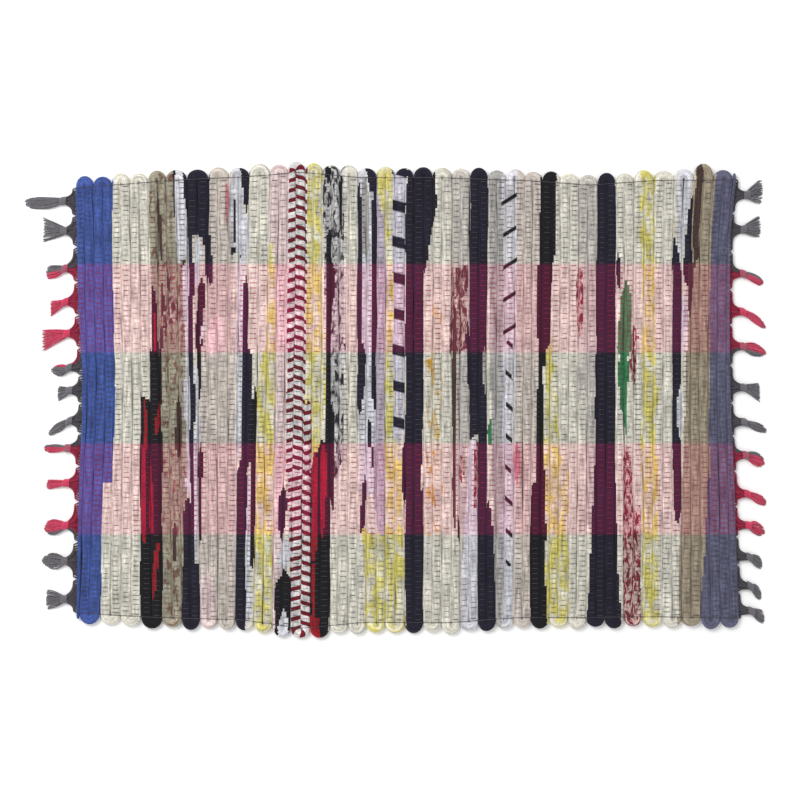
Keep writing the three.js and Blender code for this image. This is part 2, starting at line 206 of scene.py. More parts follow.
# Where each fabric lies in the weave, later rows over earlier ones and all over cream cotton:
# the start of its name, or none for that of the row before, the stretch of Y that it runs over,
# and its first and last rib, with their parts, at the one end and, if they differ, at the other
CHART = """
blue 260 -89 0 4.1
-89 -260 0 3.05
khaki_print 260 -260 8 11.5 9 12
brown 232 155 8.9 9.3 9.2 9.6
130 75 9.2 9.6 9.5 9.9
143 116 9.8 10.2 10 10.4
brown_print 114 84 9.5 11.1 9.5 11.2
brown 88 54 9.1 9.5 9 9.4
black 134 59 8.2 8.6 8.3 9
red 105 62 8.45 8.7 8.5 8.8
black 59 9 8.1 9.2 8.1 9.4
9 -260 6.9 9.3 6.95 9
red 9 -45 7.3 7.7
12 -30 8.8 9.2 8.4 8.8
-45 -150 7 7.4 7.1 7.6
-55 -140 7.8 8.2 7.9 8.3
-140 -212 8.5 8.9 7.9 8.3
brown 6 -64 10.6 11.3 10.6 11.2
-129 -177 10.1 10.5 10.2 10.5
beige 260 -260 12.5 16.4 13 16.9
black 260 190 10.5 10.8 10.8 10.95
white 260 148 10.75 11.5 11 12.2
brown 148 138 11 12.2 11.2 12.2
white 142 -110 11.6 12.1
navy 260 177 11.5 14.1 12 14.1
177 -110 12.1 12.6 12.1 12.55
white 177 118 12.7 13.5 12.55 13.1
navy 177 122 13.5 14.3 13.9 14.5
black 134 75 13.1 13.9 12.8 13.4
75 0 12.8 13.4 12.95 13.3
white 95 58 13.55 13.85 13 13.25
43 -43 12.55 12.85 12.6 13.2
-43 -177 12.55 12.95 12.5 12.8
black -43 -156 12.95 13.4 12.95 13.3
navy -110 -177 11.5 12.5 11.3 12.5
-177 -260 11.1 13 11 13
rose 236 190 15.7 16.1
pink 95 50 14 15.5 13.8 15.5
-180 -260 13 14.6 13 14.9
grey 236 145 16.1 16.7
white 260 150 16.2 17.4 16.6 17.6
navy 215 156 16.6 16.8
260 190 17.1 18.1 17.6 17.9
white 190 124 17 18.4 17 17.6
black 160 149 16.1 16.9
153 145 17.1 17.6
white 145 -70 16.9 17.5 16.9 17.4
navy 124 50 17.6 18 17.5 18.1
50 -84 17.5 18.4 17.4 18.5
-70 -260 17 18.1
white -84 -250 18.1 18.5 18.1 18.6
black 6 -190 18.5 18.95 18.55 19
pink 260 -260 20 22.2 20.9 22.2
yellow 172 54 20.1 20.5 19.8 21
54 11 19.6 21 19.2 21
11 -260 19 20.9 19 21
260 -60 24.3 26
red_ticking 260 -80 22.2 24.3
red_ticking_back 260 -80 23 24.3
red_ticking 0 -80 24.2 25
-80 -260 22.5 25 23 25
red_ticking_back -80 -260 24 25
navy -92 -150 21.5 22.4 21.4 22.4
white -150 -188 21.5 22.9
black -183 -228 21.3 22.9 21.2 22.9
-222 -260 21.3 22.9
white -226 -260 21.6 22.7
grey_print 260 -75 26 28.6 27 28.5
yellow 80 -25 25.8 26.45
black 195 -40 26.45 27.1 26.5 27.05
160 105 26.5 27.5 26.5 27.4
5 -113 27 27.4 27 27.6
260 240 26.2 27
245 180 28 28.45 28 28.4
-38 -70 26 27 25.1 27
-70 -260 25 27
red -52 -172 25.05 25.8 25.05 25.6
-40 -146 25.95 26.75 26 26.4
-165 -230 25.2 25.5 25.3 25.5
-228 -260 25 26.1
white 260 -100 30 32 30.2 32
grey 236 150 30.4 31.3
navy 236 -16 30.05 30.4 30 30.6
60 -10 30.1 30.9 30.1 30.7
260 225 30.7 32 31.3 32
228 -10 31.55 32 31.5 32
-16 -50 31 31.45 31.2 31.6
-50 -90 31.45 31.7 31.8 32
-84 -156 30.5 31 30.4 30.8
lilac 260 -150 32 33
-40 -130 31.6 33 31.8 33
yellow 260 200 32 33 32.4 33
260 -260 33 33.9 33 35
-140 -260 30.6 33 30.9 35
navy_blocks 260 -50 33.6 35.2 33.9 34.9
yellow -48 -260 33.9 34.6 33.9 35
orange 100 -150 37.2 39.1
navy 260 -260 35.2 37 35 37
-48 -113 34.6 35.2 34.8 35.2
260 204 36.9 38.3 36.9 38.4
204 125 36.9 38.3 36.9 37.05
cream -30 -110 36.85 37.05 36.7 37.05
pale 260 -260 39.9 42 41 43
brown_print 140 50 39.8 41.8 39.8 41.6
brown 100 -140 40 40.5 40.2 40.6
black -125 -185 40.5 41 40.7 41
maroon -60 -90 40.8 41.6
cream -140 -260 39.5 40.9 39.5 41
navy 260 -43 42 44
80 5 41.6 42
white -43 -260 42 43 41 42.9
grey 60 6 43.5 44
navy -43 -260 43 44 42.95 44
maroon -48 -124 42.5 43
grey 260 -260 44 46 44.9 47
green -16 -46 44 44.6 44 44.5
navy -102 -194 44 44.4 44 45
-194 -260 44 45
white 260 -260 45.6 47.5 45.8 47.2
black_strokes 260 75 45.6 47.5 45.7 47.4
black_marks 80 -180 46.15 46.85 46.1 46.75
beige 260 -260 47.3 50 46.9 49
rose -43 -90 47 47.8 47.1 47.6
black 260 158 49.9 51.7 49.7 51.4
158 38 49.6 51.2 49.6 50.9
yellow 70 -66 50.6 51.7 50.2 52
-60 -260 50.4 53 50.7 53.2
black 38 -88 49.6 50.2 49.5 50.45
-88 -150 49.1 50.5 48.8 50.6
-150 -260 48.8 50.6 48.9 50.8
pale 260 -140 54 56
maroon 138 60 53.7 54.6 53.8 54.5
cream 5 -140 54 54.9 54 55
-140 -260 53 55 53.2 55
navy 260 -120 56 57.9 55.7 58.1
158 118 58 58.5
-120 -260 55.6 58.1 55 58.8
green 128 38 58.6 59.6 58.2 59.7
50 -10 58.2 59.5 58.5 59.4
-10 -40 58.9 59.4 59.1 59.4
maroon 80 15 59.7 60.5 59.5 60.2
-50 -120 58.8 59.6 58.9 60
-120 -260 58.8 60.6 59 60.8
yellow 260 -260 60.6 62.1 60.9 62.6
khaki 260 -80 66.2 68.3 65.2 68.2
-80 -260 65 68 64.5 66.8
white 260 145 64.3 66 64.6 65
navy 180 150 63.9 64.4 63.9 64.8
150 -125 64 65 64.1 64.9
222 125 65.6 66.1 65.1 66.1
white 120 50 65 65.6 65 65.5
27 -32 64.6 65.2
brown 260 150 66.3 66.95 66.2 66.8
150 90 65.8 66.4 65.6 66
slate 260 -80 68.2 71 68.1 71
-80 -260 67.9 71 66.8 71
"""

# A row that ends at this Y runs on past the mat, and one that ends within so many mm of another
# of its fabric goes on in it. Where others end, a strip of fewer ribs than this tapers over so
# many mm.
PAST_EDGE, GOES_ON_WITHIN = 260, 7
NARROW, TAPER = 1.6, 16


def linear(code):
    """An sRGB hex colour as linear RGBA."""
    parts = np.array([int(code[i : i + 2], 16) for i in (0, 2, 4)]) / 255
    low, high = parts / 12.92, ((parts + 0.055) / 1.055) ** 2.4
    return (*np.where(parts <= 0.04045, low, high).tolist(), 1.0)


def length(name, description, metres):
    """A property that holds a length."""
    words = {"name": name, "description": description}
    return bpy.props.FloatProperty(default=metres, unit="LENGTH", **words)


def dye(name, description, code):
    """A property that holds a colour."""
    words = {"name": name, "description": description, "subtype": "COLOR"}
    return bpy.props.FloatVectorProperty(default=linear(code), size=4, min=0, max=1, **words)


class FloorMatSizes(bpy.types.PropertyGroup):
    """Sizes and colours of the mat that a user would change."""

    rag_height: length("Rag height", "Height of a rolled rag", 0.0080)
    rag_middle: length("Rag middle", "Height of the rags' middle", 0.0046)
    pinch: length("Pinch", "How deep a warp draws into a rag", 0.0005)
    puff: length("Puff", "How far a rag swells between warps", 0.0002)
    fold_depth: bpy.props.FloatProperty(
        name="Fold depth", default=0.2, subtype="FACTOR",
        description="Depth of the lengthwise folds, as a share of the rag's half width",
    )
    charcoal_radius: length("Charcoal yarn radius", "Radius of a charcoal warp", 0.00028)
    crimson_radius: length("Crimson yarn radius", "Radius of a crimson warp", 0.00031)
    strand_radius: length("Strand radius", "Radius of a tassel strand", 0.00055)
    charcoal: dye("Charcoal", "Colour of the charcoal yarn", "454247")
    crimson: dye("Crimson", "Colour of the crimson yarn", "8C1E3A")


class FloorMatStage(bpy.types.PropertyGroup):
    """Floor, light and camera."""

    floor_size: length("Floor size", "Side of the floor", 6.0)
    camera_height: length("Camera height", "Height of the camera", 2.0351)
    lens: bpy.props.FloatProperty(
        name="Lens", description="Focal length of the camera", default=85.0, unit="CAMERA"
    )
    sky: bpy.props.FloatProperty(name="Sky", description="Strength of the sky", default=0.8)
    lamp: bpy.props.FloatProperty(
        name="Lamp", description="Power of the soft light", default=30.0, unit="POWER"
    )


def mix(a, b, t):
    """The value a share t of the way from a to b."""
    return a + (b - a) * t


def rib_edge(rib, y):
    """X of the edge between ribs: straight between the two long edges, with the fringed edges'
    own curve over the outer ribs, and a slow sway of each rib."""
    across = np.clip((FAR_Y - y) / (FAR_Y - NEAR_Y), 0, 1)
    x = mix(np.interp(rib, RIB_AT, RIB_FAR), np.interp(rib, RIB_AT, RIB_NEAR), across)
    for edge, ribs_in in ((SIDE_LEFT, rib), (SIDE_RIGHT, RIBS - rib)):
        curve = np.interp(y, SIDE_Y, edge) - mix(edge[-1], edge[0], across)
        x = x + curve * np.clip(1 - ribs_in / SIDE_FADE, 0, 1)
    sway = 0.5 * np.sin(2.4 * rib) + 0.45 * np.sin(y / 23 + 1.9 * rib) * np.sin(y / 61 + rib)
    return x + np.sin(np.pi * rib / RIBS) * sway


def passes_over(rib, warp):
    """Whether a warp passes over a rib: by turns, as in a plain weave, and always for the two
    outermost warps, which show over every rib."""
    return ((rib + warp) % 2 == 0) | (warp == 0) | (warp == WARPS - 1)


def warp_level(warp):
    """Y of a warp if all of them lay straight and evenly spaced."""
    return mix(WARP_FAR, WARP_NEAR, warp / (WARPS - 1))


def in_band(warp, high, low):
    """Whether a warp belongs to the colour band between two heights."""
    return (warp_level(warp) < high) & (warp_level(warp) >= low)


def is_crimson(warp):
    """Whether a warp belongs to a crimson band."""
    return sum(in_band(warp, high, low) for name, high, low in BANDS if name == "crimson")


def warp_y(warp, x):
    """Y of a warp where it passes x: evenly spaced, drawn to the selvedge near the long edges,
    and swaying a little."""
    y = level = warp_level(warp)
    for end, tips, inset in ((WARP_FAR, TIP_FAR, -SELVEDGE), (WARP_NEAR, TIP_NEAR, SELVEDGE)):
        drawn = np.clip((level - (1 - DRAWN_SHARE) * end) / (DRAWN_SHARE * end), 0, 1)
        y = y + drawn * (np.interp(x, TIP_X, tips) + inset - end)
    return y + 0.2 * np.sin(x / 19 + 2.3 * warp)


def unit(vectors):
    """Vectors of length one."""
    return vectors / np.maximum(np.linalg.norm(vectors, axis=-1, keepdims=True), 1e-9)


def run_lengths(points):
    """Length along each path up to each of its points."""
    steps = np.linalg.norm(np.diff(points, axis=-2), axis=-1)
    return np.concatenate([np.zeros_like(steps[..., :1]), np.cumsum(steps, axis=-1)], axis=-1)


def angles_round(sides):
    """Angles of the corners of a ring, from its lowest corner."""
    return -np.pi / 2 + 2 * np.pi * np.arange(sides) / sides


def round_sections(points, radii, sides, up=(0, 0, 1)):
    """Rings round paths: centre + radius x (cos a x right + sin a x above), where right is
    square to the path and to "up", and above to both."""
    along = unit(np.gradient(points, axis=-2))
    right = unit(np.cross(along, up))
    above = np.cross(right, along)
    turn = angles_round(sides)[:, None]
    ring = np.cos(turn) * right[..., None, :] + np.sin(turn) * above[..., None, :]
    return points[..., None, :] + np.asarray(radii)[..., None, None] * ring


def put(name, data):
    """A new object in the scene."""
    made = bpy.data.objects.new(name, data)
    bpy.context.collection.objects.link(made)
    return made


def tube_mesh(name, rings, around, along, materials, slots=None, rows=None, starts=0, fuzz_and_shade=None):
    """Closed tubes from rings (tube, ring, side, xyz) in mm. Quads join each ring to the next and
    a flat cap closes each end. The layer "Along" holds metres round and along the tube. "OFBake"
    lays the tubes out flat in the unit square, one row a tube, or in the rows given with the run
    at which each starts. A colour layer holds for each ring the painted shade and crimson tint
    that the rags get where the warps cross them."""
    tubes, count, sides, _ = rings.shape
    starts = starts + np.zeros((tubes, count - 1))
    if rows is None:
        rows = np.arange(tubes)[:, None].repeat(count - 1, axis=1)
    index = np.arange(tubes * count * sides).reshape(tubes, count, sides)
    beside = np.roll(index, -1, axis=2)
    quads = np.stack([index[:, :-1], index[:, 1:], beside[:, 1:], beside[:, :-1]], axis=-1)
    caps = np.concatenate([index[:, 0], index[:, -1, ::-1]])
    loops = np.concatenate([quads.ravel(), caps.ravel()])
    totals = np.concatenate([np.full(quads.size // 4, 4), np.full(len(caps), sides)])

    mesh = bpy.data.meshes.new(name)
    mesh.vertices.add(rings.size // 3)
    mesh.vertices.foreach_set("co", (rings * MM).astype(np.float32).ravel())
    mesh.loops.add(len(loops))
    mesh.loops.foreach_set("vertex_index", loops.astype(np.int32))
    mesh.polygons.add(len(totals))
    mesh.polygons.foreach_set("loop_start", (np.cumsum(totals) - totals).astype(np.int32))
    mesh.polygons.foreach_set("use_smooth", np.ones(len(totals), dtype=bool))
    mesh.update(calc_edges=True)

    side = np.arange(sides)[None, None, :, None] + [0, 0, 1, 1]
    ring = np.arange(count - 1)[None, :, None, None] + [0, 1, 1, 0]
    run = np.take_along_axis(along, ring.reshape(1, -1).repeat(tubes, 0), axis=1)
    run = run.reshape(tubes, count - 1, 1, 4) * np.ones((1, 1, sides, 1))
    share = side / sides * np.ones((tubes, count - 1, 1, 1))
    cap_run = np.concatenate([along[:, 0], along[:, -1]])[:, None] * np.ones(sides)
    row_count = rows.max() + 1
    longest = (along[:, 1:] - starts).max()
    flat_up = (rows[:, :, None, None] + FLAT_MARGIN + FLAT_HEIGHT * share) / row_count
    turn = 2 * np.pi * np.arange(sides) / sides
    cap_row = np.concatenate([rows[:, 0] + CAP_UP[0], rows[:, -1] + CAP_UP[1]])[:, None]
    cap_size = min(CAP_SIZE, CAP_SHARE / row_count)
    cap_flat = (
        CAP_ACROSS + cap_size * np.cos(turn) * np.ones_like(cap_row),
        cap_row / row_count + cap_size * np.sin(turn),
    )
    layers = {
        "Along": ((share * around * MM, run * MM), (np.zeros_like(cap_run), cap_run * MM)),
        "OFBake": ((FLAT_WIDTH * (run - starts[:, :, None, None]) / longest, flat_up), cap_flat),
    }
    for title, parts in layers.items():
        flat = np.concatenate([np.stack(part, axis=-1).reshape(-1, 2) for part in parts])
        layer = mesh.uv_layers.new(name=title)
        layer.uv.foreach_set("vector", flat.astype(np.float32).ravel())

    # One colour a ring: painted shade of the weave and its pinches, with a crimson tint
    if fuzz_and_shade is not None:
        layer = mesh.color_attributes.new("FuzzAndShade", "FLOAT_COLOR", "POINT")
        every = np.broadcast_to(fuzz_and_shade[:, :, None, :], (tubes, count, sides, 4))
        layer.data.foreach_set("color", every.astype(np.float32).ravel())
    for material in materials:
        mesh.materials.append(material)
    if slots is not None:
        first, last = slots[:, 0].max(axis=1), slots[:, -1].max(axis=1)
        every = np.concatenate([slots.ravel(), first, last])
        mesh.polygons.foreach_set("material_index", every.astype(np.int32))
    mesh.validate()
    return put(name, mesh)


def add_node(material, kind, links=None, values=None, **settings):
    """A shader node of a material, with its settings, its sockets' values and what feeds them."""
    made = material.node_tree.nodes.new("ShaderNode" + kind)
    for key, value in settings.items():
        setattr(made, key, value)
    for key, value in (values or {}).items():
        made.inputs[key].default_value = value
    for key, source in (links or {}).items():
        material.node_tree.links.new(source, made.inputs[key])
    return made


def start_cloth(name, colour):
    """A cotton material so far: it, what adds a node to it, its colour, its place along the rag
    or yarn, and its place in the mat."""
    material = bpy.data.materials.new(name)
    material.use_nodes = True
    material.node_tree.nodes.clear()
    node = partial(add_node, material)
    dyed = node("RGB").outputs[0]
    dyed.default_value = colour
    along = node("UVMap", uv_map="Along").outputs["UV"]
    return material, node, dyed, along, node("TexCoord").outputs["Object"]


def finish_cloth(node, colour, height, strength, depth, roughness, sheen):
    """Gives a material cotton's dull gloss and sheen, over the relief of its threads."""
    bump = node("Bump", {"Height": height}, {"Strength": strength, "Distance": depth * MM})
    gloss = {
        "Roughness": roughness, "IOR": 1.47, "Specular IOR Level": 0.25, "Sheen Weight": sheen,
        "Sheen Roughness": 0.6,
    }
    shader = node("BsdfPrincipled", {"Base Color": colour, "Normal": bump.outputs[0]}, gloss)
    node("OutputMaterial", {"Surface": shader.outputs[0]})


def rag_fabric(name, ground, *pattern):
    """Worn cotton torn in strips and rolled: matt, faded in patches, flecked, with painted shade
    and highlights in long streaks along the rag for its creases, and with its threads drawn 1.2 mm
    apart, coarser than real ones, so that they show."""
    material, node, colour, along, place = start_cloth(name, linear(ground))
    if pattern:
        kind, ink = pattern[:2]
        size, cover, *line = map(float, pattern[2:])
        if kind == "print":
            # Blots drawn out along the rag
            stretch = (1 / (0.6 * size * MM), 1 / (2.2 * size * MM), 1)
            drawn_out = node("Mapping", {"Vector": along}, {"Scale": stretch})
            blots = node(
                "TexNoise", {"Vector": drawn_out.outputs[0]},
                {"Scale": 1.0, "Detail": 3.0, "Roughness": 0.6, "Distortion": 0.6},
            )
            inked = blots.outputs["Fac"]
            limits = {"From Min": 0.58 - 0.25 * cover, "From Max": 0.68 - 0.25 * cover}
        else:
            # Lines at an even repeat, round the rag or straight across the ribs
            slant, shift = line
            run = node(
                "VectorMath", {0: along if kind == "dashes" else place},
                {1: (slant / (size * MM), 1 / (size * MM), 0)}, operation="DOT_PRODUCT",
            )
            shifted = node("Math", {0: run.outputs["Value"]}, {1: -shift / size}, operation="ADD")
            wave = node("Math", {0: shifted.outputs[0]}, {1: 0.5}, operation="PINGPONG")
            inked = wave.outputs[0]
            limits = {"From Min": cover / 2 + 0.02, "From Max": cover / 2 - 0.02}
        edge = node("MapRange", {"Value": inked}, limits)
        feeds = {0: edge.outputs[0], 6: colour}
        colour = node("Mix", feeds, {7: linear(ink)}, data_type="RGBA").outputs[2]
    # Stretched along the rag for the painted shade and highlights of its creases
    painted_crease_streaks = node("Mapping", {"Vector": along}, {"Scale": (1 / (2.2 * MM), 1 / (30 * MM), 1)})
    # Patches of fading, flecks of dirt and lint, and painted shade and highlights in long streaks
    # for the creases: each darkens and lightens the last
    for where, scale, detail, roughness, most, darkest, lightest in (
        (place, 1 / (14 * MM), 4.0, 0.65, 0.7, 0.84, 1.1),
        (place, 1 / (2.6 * MM), 2.0, 0.8, 0.7, 0.76, 1.2),
        (painted_crease_streaks.outputs[0], 1.0, 3.0, 0.6, 0.66, 0.5, 1.2),
    ):
        grain = {"Scale": scale, "Detail": detail, "Roughness": roughness}
        noise = node("TexNoise", {"Vector": where}, grain).outputs["Fac"]
        limits = {"From Min": 0.3, "From Max": most, "To Min": darkest, "To Max": lightest}
        feeds = {0: colour, "Scale": node("MapRange", {"Value": noise}, limits).outputs[0]}
        colour = node("VectorMath", feeds, operation="SCALE").outputs[0]
    # The ring's colour layer: painted shade of the weave and its pinches, and the crimson of the
    # crimson yarn's stray fibres
    fuzz_and_shade = node("Attribute", attribute_name="FuzzAndShade").outputs
    crimson = node("VectorMath", {"Scale": fuzz_and_shade["Alpha"]}, {0: FUZZ_CRIMSON}, operation="SCALE")
    feeds = {0: colour, 1: fuzz_and_shade["Color"], 2: crimson.outputs[0]}
    colour = node("VectorMath", feeds, operation="MULTIPLY_ADD").outputs[0]
    spacing = {"Scale": 0.314 / (1.2 * MM), "Distortion": 1.5, "Detail": 1.0}
    threads = node("TexWave", {"Vector": along}, spacing, bands_direction="Y").outputs["Fac"]
    relief = node("Math", {0: threads, 2: noise}, {1: 0.22}, operation="MULTIPLY_ADD")
    finish_cloth(node, colour, relief.outputs[0], 0.8, depth=0.9, roughness=0.92, sheen=0.06)
    return material


def yarn_material(name, colour, loose):
    """Cotton yarn of two plies: matt, with the plies' slant every 1.6 mm in its relief and as
    painted shade between the plies. Where it is loose its colour is painted paler, a painted
    highlight for fibres that stand out and catch the light, and it has more sheen."""
    # Loose yarn: the same colour made paler, a painted highlight
    colour = tuple(min(1.0, c * (LOOSE_PAINTED_LIGHT if loose else 1.0)) for c in colour[:3]) + (1.0,)
    material, node, dyed, along, place = start_cloth(name, colour)
    # The plies' slant: painted shade, darker in the grooves between plies, and relief
    slope = {1: (1 / (3.4 * MM), 1 / (1.6 * MM), 0)}
    slant = node("VectorMath", {0: along}, slope, operation="DOT_PRODUCT").outputs["Value"]
    plies = node("Math", {0: slant}, {1: 0.5}, operation="PINGPONG")
    grain = {"Scale": 1 / (2.5 * MM), "Detail": 3.0, "Roughness": 0.7}
    fibres = node("TexNoise", {"Vector": place}, grain).outputs["Fac"]
    feeds = {0: plies.outputs[0], 2: fibres}
    tone = node("Math", feeds, {1: 0.7}, operation="MULTIPLY_ADD").outputs[0]
    limits = {"From Min": 0.35, "From Max": 0.95, "To Min": 0.7, "To Max": 1.25}
    feeds = {0: dyed, "Scale": node("MapRange", {"Value": tone}, limits).outputs[0]}
    colour = node("VectorMath", feeds, operation="SCALE").outputs[0]
    finish_cloth(node, colour, tone, 0.7, depth=0.4, roughness=0.88, sheen=0.3 if loose else 0.1)
    return material


def yarns(sizes, loose):
    """The two warp yarns, tight in the weave or loose in the tassels, made once."""
    made = {}
    for name in ("charcoal", "crimson"):
        # The loose copy is the same yarn with a painted highlight
        title = f"cotton_yarn_{name}_{'loose' if loose else 'tight'}"
        known = bpy.data.materials.get(title)
        made[name] = known or yarn_material(title, tuple(getattr(sizes, name)), loose)
    return made


def chart_rows():
    """The rows of the chart, each with whether its two ends go on in a row of the same fabric."""
    rows = []
    for line in CHART.split("\n")[1:-1]:
        words = line.split()
        if words[0][0].isalpha():
            start = words.pop(0)
            name = next(fabric for fabric in FABRICS if fabric.startswith(start))
        rows.append((name, *map(float, words + words[2:4] * (len(words) == 4))))

    def goes_on(row, ours, theirs):
        """Whether an end of a row runs past the mat or into another row."""
        y, left, right = (row[column] for column in ours)
        end, low, high = theirs
        return abs(y) == PAST_EDGE or any(
            other[0] == row[0] and other is not row and abs(other[end] - y) < GOES_ON_WITHIN
            and other[low] < right and other[high] > left
            for other in rows
        )

    first_end, last_end = (1, 3, 4), (2, 5, 6)
    return [
        (row, goes_on(row, first_end, last_end), goes_on(row, last_end, first_end))
        for row in rows
    ]


def fabric_at(rib, y):
    """The number of the fabric at a place in the weave, read from the chart. Fabrics change on
    a line that slants by up to 9 mm within a rib and lies up to 4 mm off from rib to rib, and a
    narrow strip tapers to a point where it ends, because the strips are torn and twisted."""
    names = list(FABRICS)
    found = np.full(np.shape(rib), names.index("cream_cotton"))
    whole = np.floor(rib)
    ragged = y + 4 * np.sin(12.9 * whole + 5) + 9 * (rib - whole) * np.sin(7.3 * whole)
    torn = rib + 0.05 * np.sin(y / 19 + 3 * whole) + 0.03 * np.sin(y / 41 + whole)
    torn = np.clip(torn, 0, RIBS - 0.001)
    for (name, start, stop, left, right, last_left, last_right), before, after in chart_rows():
        run = np.clip((start - ragged) / (start - stop), 0, 1)
        first, last = mix(left, last_left, run), mix(right, last_right, run)
        room = np.full(np.shape(rib), 1e3)
        if right - left < NARROW and not before:
            room = np.minimum(room, start - ragged)
        if last_right - last_left < NARROW and not after:
            room = np.minimum(room, ragged - stop)
        slim = np.clip(room / TAPER, 0, 1) ** 0.7
        middle = (first + last) / 2
        inside = (ragged <= start) & (ragged >= stop)
        inside &= (torn >= mix(middle, first, slim)) & (torn < mix(middle, last, slim))
        found[inside] = names.index(name)
    return found


def loop_tip(rib, x, far):
    """Y of the tip of the loop that leaves rib at one long edge: the line through the tips,
    a little uneven from loop to loop."""
    if far:
        line = np.interp(x, TIP_X, TIP_FAR) + LONG_LOOPS.get(rib, 0)
        return line - 1.3 * np.sin(2.7 * (rib // 2) - 1)
    return np.interp(x, TIP_X, TIP_NEAR) + 1.3 * np.sin(2.7 * ((rib + 1) // 2) + 1)


def fuzz_tint_and_painted_shade(rings, rng):
    """What is done to the rags' colour ring by ring: a painted shade that their colour is
    multiplied by, for the shade within the weave and at each pinch, darker where a warp lies over
    the rag and lighter where it lies under, tinted where the yarn is crimson, and as alpha how
    much crimson the crimson yarn's stray fibres add. Loops past the warps have none."""
    shade = np.ones((len(rings), 4))
    shade[:, 3] = rings["yarn"] == 1
    # Painted shade within the weave, tinted where the yarn is crimson
    shade[rings["yarn"] == 0, :3] = FUZZ_TINT_AND_WEAVE_SHADE["charcoal"]
    shade[rings["yarn"] == 1, :3] = FUZZ_TINT_AND_WEAVE_SHADE["crimson"]
    crossed = rings["yarn"] >= 0
    # Painted shade that differs at random from warp to warp for each pinch, then painted light
    # under a warp and painted shade over one
    shade[crossed, :3] *= rng.uniform(*PINCH_SHADE_SPREAD, (np.sum(crossed), 1))
    shade[crossed, :3] *= mix(PAINTED_LIGHT_UNDER_WARP, PAINTED_SHADE_OVER_WARP, rings["over"][crossed, None])
    return shade


def make_rings(count, **columns):
    """Rings of the rag from their columns."""
    rings = np.zeros(count, RING)
    for name, values in columns.items():
        rings[name] = values
    return rings


def straight_rings(rib, ys, heading, over=0.5, yarn=-1):
    """Rings of a rag where it lies straight along its rib, one at each of ys."""
    left, right = rib_edge(rib, ys), rib_edge(rib + 1, ys)
    return make_rings(
        len(ys), x=(left + right) / 2, y=ys, right_x=heading, half=(right - left) / 2 + SQUEEZE,
        height=1, over=over, under=1 - over, rib=rib + 0.5, rib_change=0.5 * heading, yarn=yarn,
    )


def turn_rings(rib, base, heading):
    """Rings of a loop from rib to the next: half an ellipse round the edge between them, from
    one rib's middle to the other's, whose tip touches the line of tips."""
    bend = np.linspace(0, np.pi, TURN_RINGS)
    edges = [rib_edge(rib + i, base) for i in range(3)]
    sideways = mix(edges[1] - edges[0], edges[2] - edges[1], (1 - np.cos(bend)) / 2) / 2
    half = (sideways - 0.05) * (1 + TURN_SWELL * np.sin(bend))
    reach = abs(loop_tip(rib, edges[1], heading > 0) - base) - half[TURN_RINGS // 2]
    path_x, path_y = sideways * np.sin(bend), reach * np.cos(bend)
    size = np.hypot(path_x, path_y)
    return make_rings(
        TURN_RINGS, x=edges[1] - sideways * np.cos(bend), y=base + heading * reach * np.sin(bend),
        right_x=heading * path_y / size, right_y=-path_x / size, half=half, height=1, over=0.5,
        under=0.5, rib=rib + 1 - 0.5 * np.cos(bend), rib_change=heading * 0.5 * np.cos(bend),
        yarn=-1,
    )


def end_rings(rib, base, out):
    """Rings of a free end of the rag, which tapers to a point past the last warp."""
    rings = straight_rings(rib, base + out * END_OUT, 1, END_FLAT)
    rings["under"] = END_FLAT
    rings["half"] *= END_WIDTH
    rings["height"] = END_HEIGHT
    return rings


def rag_rings(first, last):
    """Rings along a run of rag that goes to and fro through its ribs and turns at the long
    edges, and for each ring the number of its rib in the run."""
    blocks, numbers = [], []
    for rib in range(first, last + 1):
        heading = 1 if rib % 2 == 0 else -1
        warps = np.arange(WARPS)[::-heading]
        ys = warp_y(warps, (rib_edge(rib, 0.0) + rib_edge(rib + 1, 0.0)) / 2)
        ys = warp_y(warps, (rib_edge(rib, ys) + rib_edge(rib + 1, ys)) / 2)
        over = passes_over(rib, warps).astype(float)
        block = [straight_rings(rib, ys, heading, over, is_crimson(warps))]
        if rib == 0:
            block.insert(0, end_rings(rib, ys[0], -1)[::-1])
        elif rib == first:
            block.insert(0, straight_rings(rib, ys[:1] - TURN_START * heading, heading))
        if rib == RIBS - 1:
            block.append(end_rings(rib, ys[-1], 1))
        else:
            block.append(turn_rings(rib, ys[-1] + TURN_START * heading, heading))
        blocks.append(np.concatenate(block))
        numbers.append(np.full(len(blocks[-1]), rib - first))
    return np.concatenate(blocks), np.concatenate(numbers)


